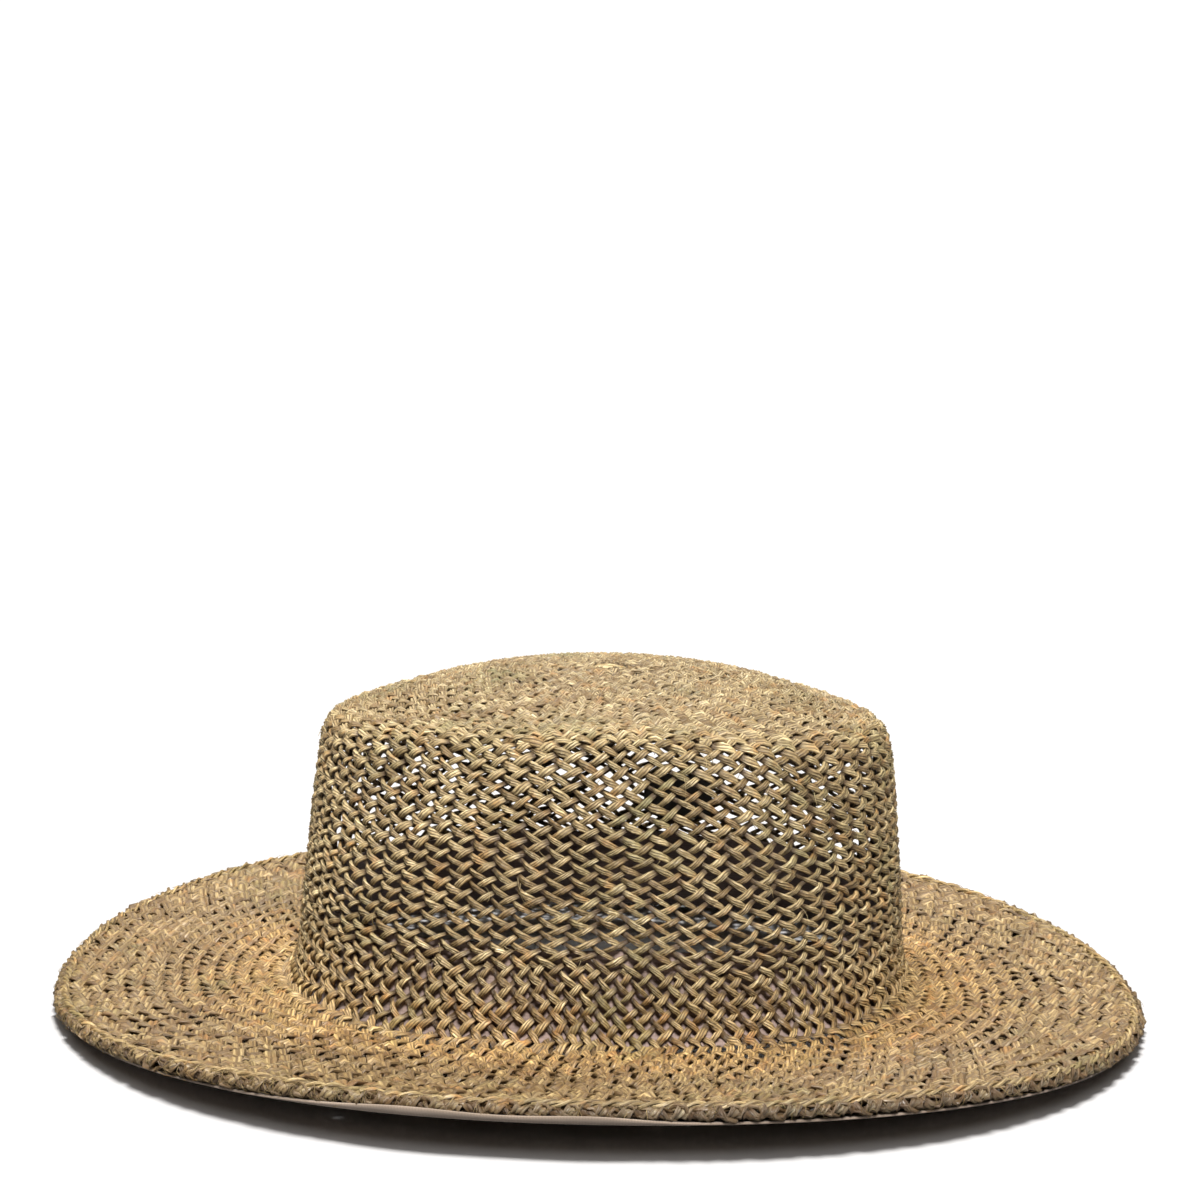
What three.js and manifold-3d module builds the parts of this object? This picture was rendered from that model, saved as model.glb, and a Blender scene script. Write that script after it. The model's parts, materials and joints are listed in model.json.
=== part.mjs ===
// Gambler hat of twisted seagrass cord, resting on its brim as it does by itself.
// Millimetres, +Z up, X along the long axis of the head, Y across it.
// The origin is on the surface that the hat rests on, under the middle of the crown.
//
// The crown and the brim are one woven body. Its skin is a table of oval rings, from the middle of the
// crown's top out to the edge of the brim. A lathe gives each piece its rings and columns, as (distance
// along the skin, depth under the skin), and press() then bends the lathe's rings into the hat's ovals.

import * as THREE from 'three';
import { mergeVertices } from 'three/addons/utils/BufferGeometryUtils.js';
import Module from 'manifold-3d';

const COLUMNS = 56;          // facets round the hat
const WALL = 2.4;            // two crossing cords
const SEAT = 0.3;            // gap between pieces that are sewn together

// The turned edge of the brim: the weave is folded under itself.
const HEM_WIDTH = 7;
const HEM_THICK = 4.4;

// The smooth tape sewn under the turned edge, which the hat rests on.
const TAPE_WIDTH = 11;
const TAPE_THICK = 0.9;
const TAPE_INSET = 0.6;      // the tape stops short of the edge
const PRESSED = 0.3;         // what the hat's weight flattens of the tape where it touches down

// The cloth band inside the foot of the crown.
const BAND_THICK = 1.2;
const BAND_TUCK = 4;         // how far it goes on below the ring named foot

// The blank cloth label on the inside of the wall, a little above the band.
const LABEL_LENGTH = 26;
const LABEL_HEIGHT = 15;
const LABEL_THICK = 0.8;
const LABEL_ANGLE = 71;      // degrees from +X towards +Y
const LABEL_ABOVE = 6;       // above the band, along the wall

// The open net of the crown's wall, as a coarser net of the same openness.
const GAP_RINGS = 4;
const GAPS_IN_RING = 28;
const GAP_WIDTH = 13.5;
const GAP_HEIGHT = 9;
const GAP_REACH = 12;        // how far the cutter passes the wall on each side

const MERGE = 1e-5;          // vertices closer than this are one

// One row for each ring of the skin.
// halfLength and halfWidth are the oval's, and square is its exponent: 2 is an ellipse, more is squarer.
// zTip is the ring's height at its two ends and zSide at its two sides, and dip says how closely the low
// stretch keeps to the ends. lean lifts the +X end and lowers the -X end. egg widens the +X half.
// steps is the number of facets from this ring to the next.
const RING_COLUMNS =
  ['name', 'halfLength', 'halfWidth', 'square', 'zTip', 'zSide', 'dip', 'lean', 'egg', 'steps'];
const RINGS = [
  ['middle', 0, 0, 2, 111, 111, 2, 0, 0, 1],
  ['dome', 32, 26, 2, 109.5, 109.8, 2, 0.2, 0, 1],
  ['shoulder', 60, 49, 2, 104.4, 106.8, 2, 0.5, 0.02, 1],
  ['groove', 79, 64.5, 2, 97.3, 102.6, 2, 0.7, 0.04, 1],
  ['rim', 87, 71.5, 2, 95.3, 102.8, 2, 0.7, 0.05, 1],
  ['corner', 92.6, 76.8, 2, 92.4, 100.8, 2, 0.5, 0.05, 1],
  ['wall_top', 95.2, 79.6, 2, 86.6, 95, 2, 0.3, 0.05, 1],
  ['wall_mid', 98.2, 84.4, 2.1, 60, 64, 2, 0, 0.04, 1],
  ['band_top', 100.4, 87.6, 2.15, 34, 35, 2, 0.5, 0.03, 2],
  ['foot', 102.2, 90, 2.2, 15, 15.4, 2, 1, 0.02, 1],
  ['crease', 105.4, 93.4, 2.2, 7.6, 8.2, 2, 1.4, 0.02, 1],
  ['brim_inner', 115, 103, 2.2, 6, 7, 2.5, 1, 0.01, 2],
  ['brim_middle', 148, 135.5, 2.2, 5.5, 8.8, 2.8, 0.4, 0, 2],
  ['hem', 172, 159, 2.2, 5.6, 12.4, 3.2, 0, -0.01, 1],
  ['edge', 178.7, 165.6, 2.2, 5.6, 13.6, 3.2, 0, -0.014, 1],
].map((row) => Object.fromEntries(RING_COLUMNS.map((key, i) => [key, row[i]])));
const SHAPE_COLUMNS = RING_COLUMNS.slice(1, -1);

const degrees = THREE.MathUtils.degToRad;

// How far each ring lies from the middle, along the skin at the hat's ends.
const distances = [0];
for (let i = 1; i < RINGS.length; i += 1) {
  const out = RINGS[i].halfLength - RINGS[i - 1].halfLength;
  const down = RINGS[i].zTip - RINGS[i - 1].zTip;
  distances.push(distances[i - 1] + Math.hypot(out, down));
}

function distanceOf(name) {
  return distances[RINGS.findIndex((ring) => ring.name === name)];
}

// A column of the table at any distance from the middle, on a smooth curve through the rings.
function columnAt(key, distance) {
  const last = RINGS.length - 1;
  let i = 0;
  while (i < last - 1 && distance > distances[i + 1]) {
    i += 1;
  }
  const slope = (k) => {
    const before = Math.max(k - 1, 0);
    const after = Math.min(k + 1, last);
    return (RINGS[after][key] - RINGS[before][key]) / (distances[after] - distances[before]);
  };
  const span = distances[i + 1] - distances[i];
  const t = (distance - distances[i]) / span;
  if (t > 1) {
    return RINGS[last][key] + slope(last) * (distance - distances[last]);
  }
  const rise = t * t * (3 - 2 * t);
  const start = t * (1 - t) * (1 - t) * slope(i) * span;
  const end = t * t * (t - 1) * slope(i + 1) * span;
  return RINGS[i][key] * (1 - rise) + RINGS[i + 1][key] * rise + start + end;
}

function skin(distance, angle) {
  const ring = {};
  for (const key of SHAPE_COLUMNS) {
    ring[key] = columnAt(key, distance);
  }
  const c = Math.cos(angle);
  const s = Math.sin(angle);
  if (ring.halfLength <= 0) {
    return new THREE.Vector3(0, 0, ring.zTip);
  }
  const x = Math.abs(c / ring.halfLength) ** ring.square;
  const y = Math.abs(s / ring.halfWidth) ** ring.square;
  const radius = (x + y) ** (-1 / ring.square);
  const low = Math.abs(c) ** ring.dip;
  const z = ring.zSide + (ring.zTip - ring.zSide) * low + ring.lean * c;
  return new THREE.Vector3(radius * c, radius * s * (1 + ring.egg * c), z);
}

// The skin's outward direction, from four points close by.
function outward(distance, angle) {
  const near = 0.5;
  const turn = degrees(1);
  const from = Math.max(distance, near);
  const along = skin(from + near, angle).sub(skin(from - near, angle));
  const round = skin(from, angle + turn).sub(skin(from, angle - turn));
  if (distance < near) {
    return new THREE.Vector3(0, 0, 1);
  }
  return along.cross(round).normalize();
}

function under(distance, angle, depth) {
  return skin(distance, angle).addScaledVector(outward(distance, angle), -depth);
}

// Bends a lathe's rings into the hat's ovals, and merges the shared vertices of its closed surface.
function press(profile, shape = under) {
  const points = profile.map(([distance, depth]) => new THREE.Vector2(distance, depth));
  const lathe = new THREE.LatheGeometry(points, COLUMNS);
  const place = lathe.attributes.position;
  for (let k = 0; k < place.count; k += 1) {
    const [distance, depth] = profile[k % profile.length];
    const column = Math.floor(k / profile.length) % COLUMNS;
    const point = shape(distance, (2 * Math.PI * column) / COLUMNS, depth);
    place.setXYZ(k, point.x, point.y, point.z);
  }
  return merged(lathe);
}

function merged(geometry) {
  geometry.deleteAttribute('normal');
  geometry.deleteAttribute('uv');
  return closed(mergeVertices(geometry, MERGE));
}

// Drops the triangles that the axis or the merging has flattened, and faces the surface outward.
function closed(geometry) {
  const index = geometry.index.array;
  const kept = [];
  for (let k = 0; k < index.length; k += 3) {
    const [a, b, c] = [index[k], index[k + 1], index[k + 2]];
    if (a !== b && b !== c && c !== a) {
      kept.push(a, b, c);
    }
  }
  geometry.setIndex(kept);
  if (volume(geometry) < 0) {
    for (let k = 0; k < kept.length; k += 3) {
      [kept[k], kept[k + 1]] = [kept[k + 1], kept[k]];
    }
    geometry.setIndex(kept);
  }
  geometry.computeVertexNormals();
  return geometry;
}

function volume(geometry) {
  const place = geometry.attributes.position;
  const index = geometry.index.array;
  const [a, b, c] = [new THREE.Vector3(), new THREE.Vector3(), new THREE.Vector3()];
  let sum = 0;
  for (let k = 0; k < index.length; k += 3) {
    a.fromBufferAttribute(place, index[k]);
    b.fromBufferAttribute(place, index[k + 1]);
    c.fromBufferAttribute(place, index[k + 2]);
    sum += a.dot(b.cross(c)) / 6;
  }
  return sum;
}

// Distances from one ring to another, with each ring's own number of facets.
function between(from, to) {
  const first = RINGS.findIndex((ring) => ring.name === from);
  const last = RINGS.findIndex((ring) => ring.name === to);
  const list = [];
  for (let i = first; i < last; i += 1) {
    for (let k = 0; k < RINGS[i].steps; k += 1) {
      list.push(distances[i] + ((distances[i + 1] - distances[i]) * k) / RINGS[i].steps);
    }
  }
  list.push(distances[last]);
  return list;
}

const wasm = await Module();
wasm.setup();

function solidOf(geometry) {
  const vertProperties = new Float32Array(geometry.attributes.position.array);
  const triVerts = new Uint32Array(geometry.index.array);
  return new wasm.Manifold(new wasm.Mesh({ numProp: 3, vertProperties, triVerts }));
}

function geometryOf(solid) {
  const mesh = solid.getMesh();
  const geometry = new THREE.BufferGeometry();
  geometry.setAttribute('position', new THREE.Float32BufferAttribute(mesh.vertProperties, 3));
  geometry.setIndex([...mesh.triVerts]);
  geometry.computeVertexNormals();
  return geometry;
}

// The woven body: the skin, the folded edge of the brim and the underside, WALL below the skin.
const edge = distanceOf('edge');
const hem = edge - HEM_WIDTH;
const fold = HEM_THICK / 2;
function bodyProfile() {
  const skinSide = between('middle', 'edge').map((distance) => [distance, 0]);
  const folded = [
    [edge + fold * Math.cos(degrees(45)), fold * (1 - Math.sin(degrees(45)))],
    [edge + fold, fold],
    [edge + fold * Math.cos(degrees(45)), fold * (1 + Math.sin(degrees(45)))],
    [edge, HEM_THICK],
    [hem, HEM_THICK],
    [hem - fold / 2, WALL],
  ];
  const underside = between('middle', 'brim_middle').reverse().map((distance) => [distance, WALL]);
  return [...skinSide, ...folded, ...underside];
}

// A diamond gap of the net, as a cutter that passes through the wall along its outward direction.
function gapCutter(distance, angle) {
  const diamond = new THREE.Shape();
  diamond.moveTo(GAP_WIDTH / 2, 0);
  diamond.lineTo(0, GAP_HEIGHT / 2);
  diamond.lineTo(-GAP_WIDTH / 2, 0);
  diamond.lineTo(0, -GAP_HEIGHT / 2);
  diamond.closePath();
  const depth = 2 * GAP_REACH;
  const cutter = new THREE.ExtrudeGeometry(diamond, { depth, bevelEnabled: false });
  cutter.translate(0, 0, -GAP_REACH);
  const out = outward(distance, angle);
  const up = new THREE.Vector3(0, 0, 1).addScaledVector(out, -out.z).normalize();
  const side = new THREE.Vector3().crossVectors(up, out);
  cutter.applyMatrix4(new THREE.Matrix4().makeBasis(side, up, out).setPosition(skin(distance, angle)));
  return merged(cutter);
}

function wovenBody() {
  let solid = solidOf(press(bodyProfile()));
  const top = distanceOf('wall_top');
  const height = distanceOf('band_top') - top;
  for (let ring = 0; ring < GAP_RINGS; ring += 1) {
    const distance = top + (height * (ring + 0.5)) / GAP_RINGS;
    for (let gap = 0; gap < GAPS_IN_RING; gap += 1) {
      const angle = (2 * Math.PI * (gap + (ring % 2) / 2)) / GAPS_IN_RING;
      solid = solid.subtract(solidOf(gapCutter(distance, angle)));
    }
  }
  return geometryOf(solid);
}

// A closed band under the skin, between two distances and two depths.
function bandProfile(list, outer, inner) {
  const there = list.map((distance) => [distance, outer]);
  const back = [...list].reverse().map((distance) => [distance, inner]);
  return [...there, ...back, there[0]];
}

function sweatband() {
  const outer = WALL + SEAT;
  const list = [...between('band_top', 'foot'), distanceOf('foot') + BAND_TUCK];
  return press(bandProfile(list, outer, outer + BAND_THICK));
}

// The tape keeps to the hem's underside. Where it would touch the surface below, it is pressed flat.
function tapeShape(distance, angle, depth) {
  const point = under(distance, angle, depth);
  if (depth > HEM_THICK + SEAT && point.z < PRESSED) {
    point.z = 0;
  }
  return point;
}

function edgeTape() {
  const outer = HEM_THICK + SEAT;
  const outside = edge - TAPE_INSET;
  const list = [outside - TAPE_WIDTH, outside - TAPE_WIDTH / 2, outside];
  return press(bandProfile(list, outer, outer + TAPE_THICK), tapeShape);
}

// A small card of cloth, bent to the inside of the wall.
function label() {
  const card = new THREE.BoxGeometry(LABEL_LENGTH, LABEL_HEIGHT, LABEL_THICK, 4, 2, 1);
  const place = card.attributes.position;
  const middle = distanceOf('band_top') - LABEL_ABOVE - LABEL_HEIGHT / 2;
  const reach = skin(middle, degrees(LABEL_ANGLE)).setZ(0).length();
  for (let k = 0; k < place.count; k += 1) {
    const angle = degrees(LABEL_ANGLE) - place.getX(k) / reach;
    const depth = WALL + SEAT + LABEL_THICK / 2 - place.getZ(k);
    const point = under(middle - place.getY(k), angle, depth);
    place.setXYZ(k, point.x, point.y, point.z);
  }
  return merged(card);
}

const straw = { color: 0xb39a6b, roughness: 0.8, metalness: 0 };
const bandCloth = { color: 0x8a7468, roughness: 0.9, metalness: 0 };
const tapeCloth = { color: 0x8f7d6c, roughness: 0.85, metalness: 0 };
const labelCloth = { color: 0x3a3634, roughness: 0.9, metalness: 0 };

function part(name, geometry, finish) {
  const mesh = new THREE.Mesh(geometry, new THREE.MeshStandardMaterial(finish));
  mesh.name = name;
  return mesh;
}

const hat = new THREE.Group();
hat.add(part('woven_body', wovenBody(), straw));
hat.add(part('edge_tape', edgeTape(), tapeCloth));
hat.add(part('sweatband', sweatband(), bandCloth));
hat.add(part('label', label(), labelCloth));

export default hat;
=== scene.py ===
# %% [markdown]
# A gambler hat of seagrass. Two families of twisted cord cross each other all over the crown and the brim,
# and pass over and under each other in turn. This lesson loads the measured frame of the hat, works out its
# skin from one short table of rings, and lays every cord on that skin. Blender's lengths are metres. The
# hat's drawing is in millimetres, and MM turns one into the other.

# %% Load the frame
import json
import math

import bpy
import numpy as np
from mathutils import Matrix, Vector

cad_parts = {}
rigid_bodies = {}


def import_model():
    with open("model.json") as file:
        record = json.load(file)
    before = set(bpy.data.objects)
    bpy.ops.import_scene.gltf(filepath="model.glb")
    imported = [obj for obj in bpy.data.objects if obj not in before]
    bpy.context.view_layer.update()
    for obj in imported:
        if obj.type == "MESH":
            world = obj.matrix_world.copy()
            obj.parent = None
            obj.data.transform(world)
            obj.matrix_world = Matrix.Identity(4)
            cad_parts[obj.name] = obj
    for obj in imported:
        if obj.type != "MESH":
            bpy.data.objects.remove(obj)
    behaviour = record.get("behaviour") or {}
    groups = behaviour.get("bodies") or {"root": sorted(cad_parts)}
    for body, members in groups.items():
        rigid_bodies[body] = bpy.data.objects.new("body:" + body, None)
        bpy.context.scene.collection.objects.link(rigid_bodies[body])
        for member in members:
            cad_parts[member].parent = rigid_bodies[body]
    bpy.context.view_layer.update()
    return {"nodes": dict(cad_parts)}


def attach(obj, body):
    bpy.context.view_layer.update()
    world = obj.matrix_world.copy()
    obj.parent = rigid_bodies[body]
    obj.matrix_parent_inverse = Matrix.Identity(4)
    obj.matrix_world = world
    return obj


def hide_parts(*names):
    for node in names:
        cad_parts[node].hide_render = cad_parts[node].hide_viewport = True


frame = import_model()
MM = 0.001
print("nodes:", sorted(frame["nodes"]))

# %% [markdown]
# The camera comes first, because every later choice is judged through it. The photograph was taken from a
# little under a metre away, about 16 degrees above the surface, with the camera turned a little on its axis.
# An empty camera object is built from those few numbers, so the view can be changed by hand later.

# %% Camera
LENS = 78.35  # on a sensor 36 mm wide
CAMERA_PLACE = (-0.01195, -0.8647, 0.2491)
CAMERA_DOWN = 7.68  # degrees below the horizon
CAMERA_HEADING = -0.56  # degrees about Z
CAMERA_ROLL = 1.6  # degrees about its own axis

camera_data = bpy.data.cameras.new("photo_camera")
camera_data.lens = LENS
camera_data.sensor_width = 36
camera = bpy.data.objects.new("photo_camera", camera_data)
bpy.context.scene.collection.objects.link(camera)
camera.matrix_world = (
    Matrix.Translation(CAMERA_PLACE)
    @ Matrix.Rotation(math.radians(CAMERA_HEADING), 4, "Z")
    @ Matrix.Rotation(math.radians(90 - CAMERA_DOWN), 4, "X")
    @ Matrix.Rotation(math.radians(CAMERA_ROLL), 4, "Z")
)
bpy.context.scene.camera = camera
print("camera at", [round(v, 3) for v in camera.location])

# %% [markdown]
# The floor is a wide round card of pale grey. It lies level at the height of the frame's lowest point, and it
# is so wide that its rim is lost in the white surrounding from every side.

# %% Floor
FLOOR_RADIUS = 30.0
FLOOR_SIDES = 96

floor_around = np.linspace(0, 2 * np.pi, FLOOR_SIDES, endpoint=False)
floor_points = [(FLOOR_RADIUS * math.cos(a), FLOOR_RADIUS * math.sin(a), 0) for a in floor_around]
floor_mesh = bpy.data.meshes.new("floor")
floor_mesh.from_pydata(floor_points, [], [tuple(range(FLOOR_SIDES))])
floor = bpy.data.objects.new("floor", floor_mesh)
bpy.context.scene.collection.objects.link(floor)
print("floor radius:", FLOOR_RADIUS, "m")

# %% [markdown]
# In the photograph the light comes from high up, and every stroke of the weave is bright on its upper side
# and dark below. The wall that faces us is nearly as bright as the brim, so the hat has one light almost
# overhead, one high in front and a weak one behind. The floor is white with one short dark shadow in front,
# so it has its own light from behind, and a weak wide one that leaves a grey halo round the shadow. Light
# linking gives each light what it shines on. The surrounding lights little, and is white only to the camera.

# %% Light
LIGHT_COLUMNS = ("from_x", "from_y", "from_z", "strength", "degrees_across", "shines_on")
LIGHTS = {
    "overhead": (-0.3, 0.15, 1.0, 3.4, 20.0, "hat"),
    "front": (0.1, -0.8, 1.0, 7.6, 16.0, "hat"),
    "behind": (0.3, 0.9, 0.8, 0.9, 30.0, "hat"),
    "floor": (0.0, 0.46, 1.0, 3.9, 19.0, "floor"),
    "floor_soft": (0.0, 0.1, 1.0, 0.55, 80.0, "floor"),
}
LIGHT_COLOUR = (1, 0.98, 0.945)
FILL_STRENGTH = 0.035
BACKDROP_STRENGTH = 1.1
FILL_COLOUR = (1.0, 0.84, 0.7, 1)

shone_on = {name: bpy.data.collections.new("lit_" + name) for name in ("hat", "floor")}
shone_on["floor"].objects.link(floor)
for name, (x, y, z, strength, across, receiver) in LIGHTS.items():
    light_data = bpy.data.lights.new(name, "SUN")
    light_data.energy = strength
    light_data.angle = math.radians(across)
    light_data.color = LIGHT_COLOUR
    light = bpy.data.objects.new(name, light_data)
    light.rotation_mode = "QUATERNION"
    light.rotation_quaternion = Vector((x, y, z)).to_track_quat("Z", "Y")
    light.location = Vector((x, y, z)).normalized() * 2
    light.light_linking.receiver_collection = shone_on[receiver]
    bpy.context.scene.collection.objects.link(light)


def surrounding():
    """A world that lights softly and looks white to the camera."""
    made = bpy.data.worlds.new("surrounding")
    made.use_nodes = True
    tree = made.node_tree
    fill = tree.nodes["Background"]
    fill.inputs["Color"].default_value = FILL_COLOUR
    fill.inputs["Strength"].default_value = FILL_STRENGTH
    backdrop = tree.nodes.new("ShaderNodeBackground")
    backdrop.inputs["Color"].default_value = (1, 1, 1, 1)
    backdrop.inputs["Strength"].default_value = BACKDROP_STRENGTH
    rays = tree.nodes.new("ShaderNodeLightPath")
    choice = tree.nodes.new("ShaderNodeMixShader")
    tree.links.new(rays.outputs["Is Camera Ray"], choice.inputs[0])
    tree.links.new(fill.outputs[0], choice.inputs[1])
    tree.links.new(backdrop.outputs[0], choice.inputs[2])
    tree.links.new(choice.outputs[0], tree.nodes["World Output"].inputs["Surface"])
    return made


bpy.context.scene.world = surrounding()
bpy.context.scene.view_settings.view_transform = "Standard"

# %% [markdown]
# The skin is the outer face of the straw. It is described by a few oval rings, from the middle of the crown's
# top out to the brim's edge: half sizes, how square the oval is, how high it runs at the two tips and at the
# two sides, and how it leans. Between the rings, each column is a smooth curve. The frame was made from this
# same table, so a cord laid on it lies in the frame's wall.

# %% Table of rings, in millimetres
RING_COLUMNS = ("half_length", "half_width", "square", "z_tip", "z_side", "dip", "lean", "egg")
RINGS = {
    "middle": (0, 0, 2, 111, 111, 2, 0, 0),
    "dome": (32, 26, 2, 109.5, 109.8, 2, 0.2, 0),
    "shoulder": (60, 49, 2, 104.4, 106.8, 2, 0.5, 0.02),
    "groove": (79, 64.5, 2, 97.3, 102.6, 2, 0.7, 0.04),
    "rim": (87, 71.5, 2, 95.3, 102.8, 2, 0.7, 0.05),
    "corner": (92.6, 76.8, 2, 92.4, 100.8, 2, 0.5, 0.05),
    "wall_top": (95.2, 79.6, 2, 86.6, 95, 2, 0.3, 0.05),
    "wall_mid": (98.2, 84.4, 2.1, 60, 64, 2, 0, 0.04),
    "band_top": (100.4, 87.6, 2.15, 34, 35, 2, 0.5, 0.03),
    "foot": (102.2, 90, 2.2, 15, 15.4, 2, 1, 0.02),
    "crease": (105.4, 93.4, 2.2, 7.6, 8.2, 2, 1.4, 0.02),
    "brim_inner": (115, 103, 2.2, 6, 7, 2.5, 1, 0.01),
    "brim_middle": (148, 135.5, 2.2, 5.5, 8.8, 2.8, 0.4, 0),
    "hem": (172, 159, 2.2, 5.6, 12.4, 3.2, 0, -0.01),
    "edge": (178.7, 165.6, 2.2, 5.6, 13.6, 3.2, 0, -0.014),
}
TABLE = np.array(list(RINGS.values()), float)
STEP_OUT = np.hypot(np.diff(TABLE[:, 0]), np.diff(TABLE[:, 3]))
RING_AT = np.concatenate([[0], np.cumsum(STEP_OUT)])
AT = dict(zip(RINGS, RING_AT))
print("distance along the skin, middle to edge:", round(AT["edge"], 1), "mm")

# %% [markdown]
# Three functions turn a distance along the skin and an angle about Z into a point. columns reads the table
# as smooth curves, skin makes the point, and under goes a depth inwards from it. They work on whole arrays,
# because the weave asks for some hundred thousand points.

# %% Skin
SMALL = 1e-6
DIFF_ALONG = 0.5  # mm
DIFF_AROUND = np.radians(1)


def columns(distance):
    """The table's columns at distances in mm, as smooth curves through the rings."""
    last = len(RING_AT) - 1
    k = np.clip(np.searchsorted(RING_AT, distance) - 1, 0, last - 1)

    def slope(i):
        low, high = np.maximum(i - 1, 0), np.minimum(i + 1, last)
        return (TABLE[high] - TABLE[low]) / (RING_AT[high] - RING_AT[low])[..., None]

    span = (RING_AT[k + 1] - RING_AT[k])[..., None]
    t = (distance - RING_AT[k])[..., None] / span
    beyond = t > 1
    t = np.minimum(t, 1)
    ease = t * t * (3 - 2 * t)
    curve = TABLE[k] * (1 - ease) + TABLE[k + 1] * ease
    curve = curve + t * (1 - t) ** 2 * slope(k) * span + t * t * (t - 1) * slope(k + 1) * span
    straight = TABLE[last] + slope(np.full_like(k, last)) * (distance - RING_AT[last])[..., None]
    return np.where(beyond, straight, curve)


def skin(distance, angle):
    """Points of the outer face, in mm."""
    distance, angle = np.broadcast_arrays(np.asarray(distance, float), np.asarray(angle, float))
    half_length, half_width, square, z_tip, z_side, dip, lean, egg = np.moveaxis(columns(distance), -1, 0)
    cosine, sine = np.cos(angle), np.sin(angle)
    across = np.abs(cosine / np.maximum(half_length, SMALL)) ** square
    along = np.abs(sine / np.maximum(half_width, SMALL)) ** square
    radius = (across + along) ** (-1 / square)
    height = z_side + (z_tip - z_side) * np.abs(cosine) ** dip + lean * cosine
    return np.stack([radius * cosine, radius * sine * (1 + egg * cosine), height], -1)


def facing(surface, distance, angle):
    """Unit vectors that point out of a surface given as a function of distance and angle."""
    along = surface(distance + DIFF_ALONG, angle) - surface(np.maximum(distance - DIFF_ALONG, SMALL), angle)
    around = surface(distance, angle + DIFF_AROUND) - surface(distance, angle - DIFF_AROUND)
    out = np.cross(along, around)
    return out / np.linalg.norm(out, axis=-1, keepdims=True)


def under(distance, angle, depth):
    """Points below the skin, in mm."""
    return skin(distance, angle) - facing(skin, distance, angle) * np.asarray(depth)[..., None]


corner_points = skin(np.array([0.0, AT["edge"], AT["edge"]]), np.radians([0, 0, 90]))
print("top, tip and side of the skin in mm:", corner_points.round(1).tolist())

# %% [markdown]
# Cords lie in a layer in the middle of the wall. At the brim's edge the layer turns under in a tight half
# circle and runs back a few millimetres, as the real edge does, which is woven back into itself. layer goes
# on counting the distance round that turn, so a cord simply follows it.

# %% Layer with its turned edge
LAYER_DEPTH = 1.15  # mm under the skin
HEM_THICK = 4.4  # mm over both layers
TURN_RADIUS = HEM_THICK / 2 - LAYER_DEPTH
TURN_LENGTH = np.pi * TURN_RADIUS
TURN_BACK = 6.5  # mm that the ends run back under the brim
LAYER_END = AT["edge"] + TURN_LENGTH + TURN_BACK


def layer(distance, angle):
    """Points in the middle of the woven layer, in mm, round the turned edge too."""
    distance, angle = np.broadcast_arrays(np.asarray(distance, float), np.asarray(angle, float))
    past = distance - AT["edge"]
    turn = np.clip(past / TURN_RADIUS, 0, np.pi)
    back = np.maximum(past - TURN_LENGTH, 0)
    place = np.where(past > 0, AT["edge"] + TURN_RADIUS * np.sin(turn) - back, distance)
    depth = np.where(past > 0, HEM_THICK / 2 - TURN_RADIUS * np.cos(turn), LAYER_DEPTH)
    return under(place, angle, depth)


print("layer ends", round(LAYER_END, 1), "mm from the middle")

# %% [markdown]
# The weave is counted in rows. In a row, every cord that leans right crosses one that leans left, and the
# next row crosses half a gap to the side. A cord turns about Z by half a gap in each row, so a band of the
# hat only has to say how many cords it has and how many rows. Where the hat gets wider, new cords start
# beside the old ones, as the weaver adds them.

# %% Rows of the weave
BAND_COLUMNS = ("ends_at_mm", "rows", "cords")
BANDS = {
    "inner_top": (20, 4, 16),
    "middle_top": (42, 10, 32),
    "outer_top": (96, 28, 60),
    "upper_wall": (160, 32, 68),
    "lower_wall": (181, 8, 104),
    "brim": (248, 22, 138),
    "hem": (LAYER_END, 6, 138),
}
START = 7.0  # mm, the rim of the small button in the middle of the top
FINE_STEPS = 12  # in a row
SOFT_ROWS = 3  # how gradually the cords change direction and place

row_counts = np.array([rows for _, rows, _ in BANDS.values()])
cord_counts = np.array([cords for _, _, cords in BANDS.values()])
row_ends = np.concatenate([[0], np.cumsum(row_counts)])
ROW_OF = dict(zip(BANDS, row_ends))
ends = np.array([START] + [end for end, _, _ in BANDS.values()])
fine_rows = np.arange(row_ends[-1] * FINE_STEPS + 1) / FINE_STEPS
band_there = np.clip(np.searchsorted(row_ends, fine_rows, side="right") - 1, 0, len(BANDS) - 1)


def soften(values):
    """Values at the fine rows, averaged over a few rows on both sides."""
    width = SOFT_ROWS * FINE_STEPS
    padded = np.pad(values, width // 2, mode="edge")
    return np.convolve(padded, np.ones(width) / width, mode="valid")[:len(values)]


def distance_of(row):
    """Distance from the middle, in mm, at a row."""
    return np.interp(row, row_ends, ends)


turn_rate = soften(np.pi / cord_counts[band_there])
fine_turn = np.concatenate([[0], np.cumsum(turn_rate[:-1]) / FINE_STEPS])
print("rows:", row_ends[-1], "and a cord goes", round(fine_turn[-1] / (2 * np.pi), 2), "times round the hat")

# %% [markdown]
# At the start of a band, each old cord moves to the nearest of the new even places, and the places left over
# get new cords. The two families are shifted against each other by a part of a gap, so that they still cross
# on whole rows. Everything moves over a few rows, so no ring shows where the number changes.

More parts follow.
